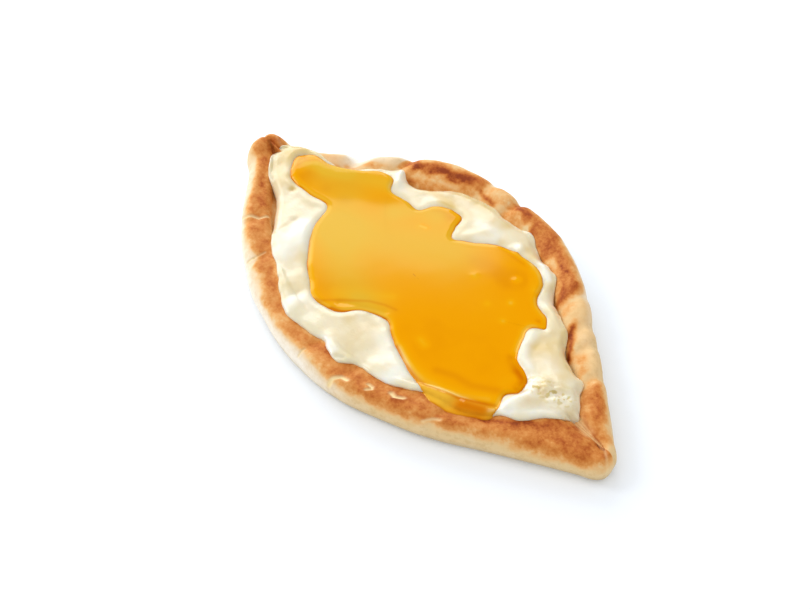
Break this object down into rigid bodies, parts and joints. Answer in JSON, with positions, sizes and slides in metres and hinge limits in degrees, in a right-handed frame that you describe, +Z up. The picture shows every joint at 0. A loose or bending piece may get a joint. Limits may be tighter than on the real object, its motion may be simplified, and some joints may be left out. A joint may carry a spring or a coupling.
{
  "type": "manakish",
  "caption": "Boat-shaped flatbread with folded sides, spread with thick cream and topped with a pool of honey.",
  "frame": {"origin": "middle of the flat underside, under the middle of the bread's bounding box", "axes": "+X along the boat from one pinched tip to the other, +Y towards the side whose folded rim stands a little higher, +Z up"},
  "size_m": [0.2404, 0.1342, 0.0167],
  "materials": {
    "crust": "baked dough, pale on the wall and browned on the folds",
    "cream": "thick moist cream",
    "honey": "clear amber honey, glossy"
  },
  "bodies": {
    "root": {"bread": "crust", "cream": "cream", "honey": "honey"}
  },
  "joints": []
}
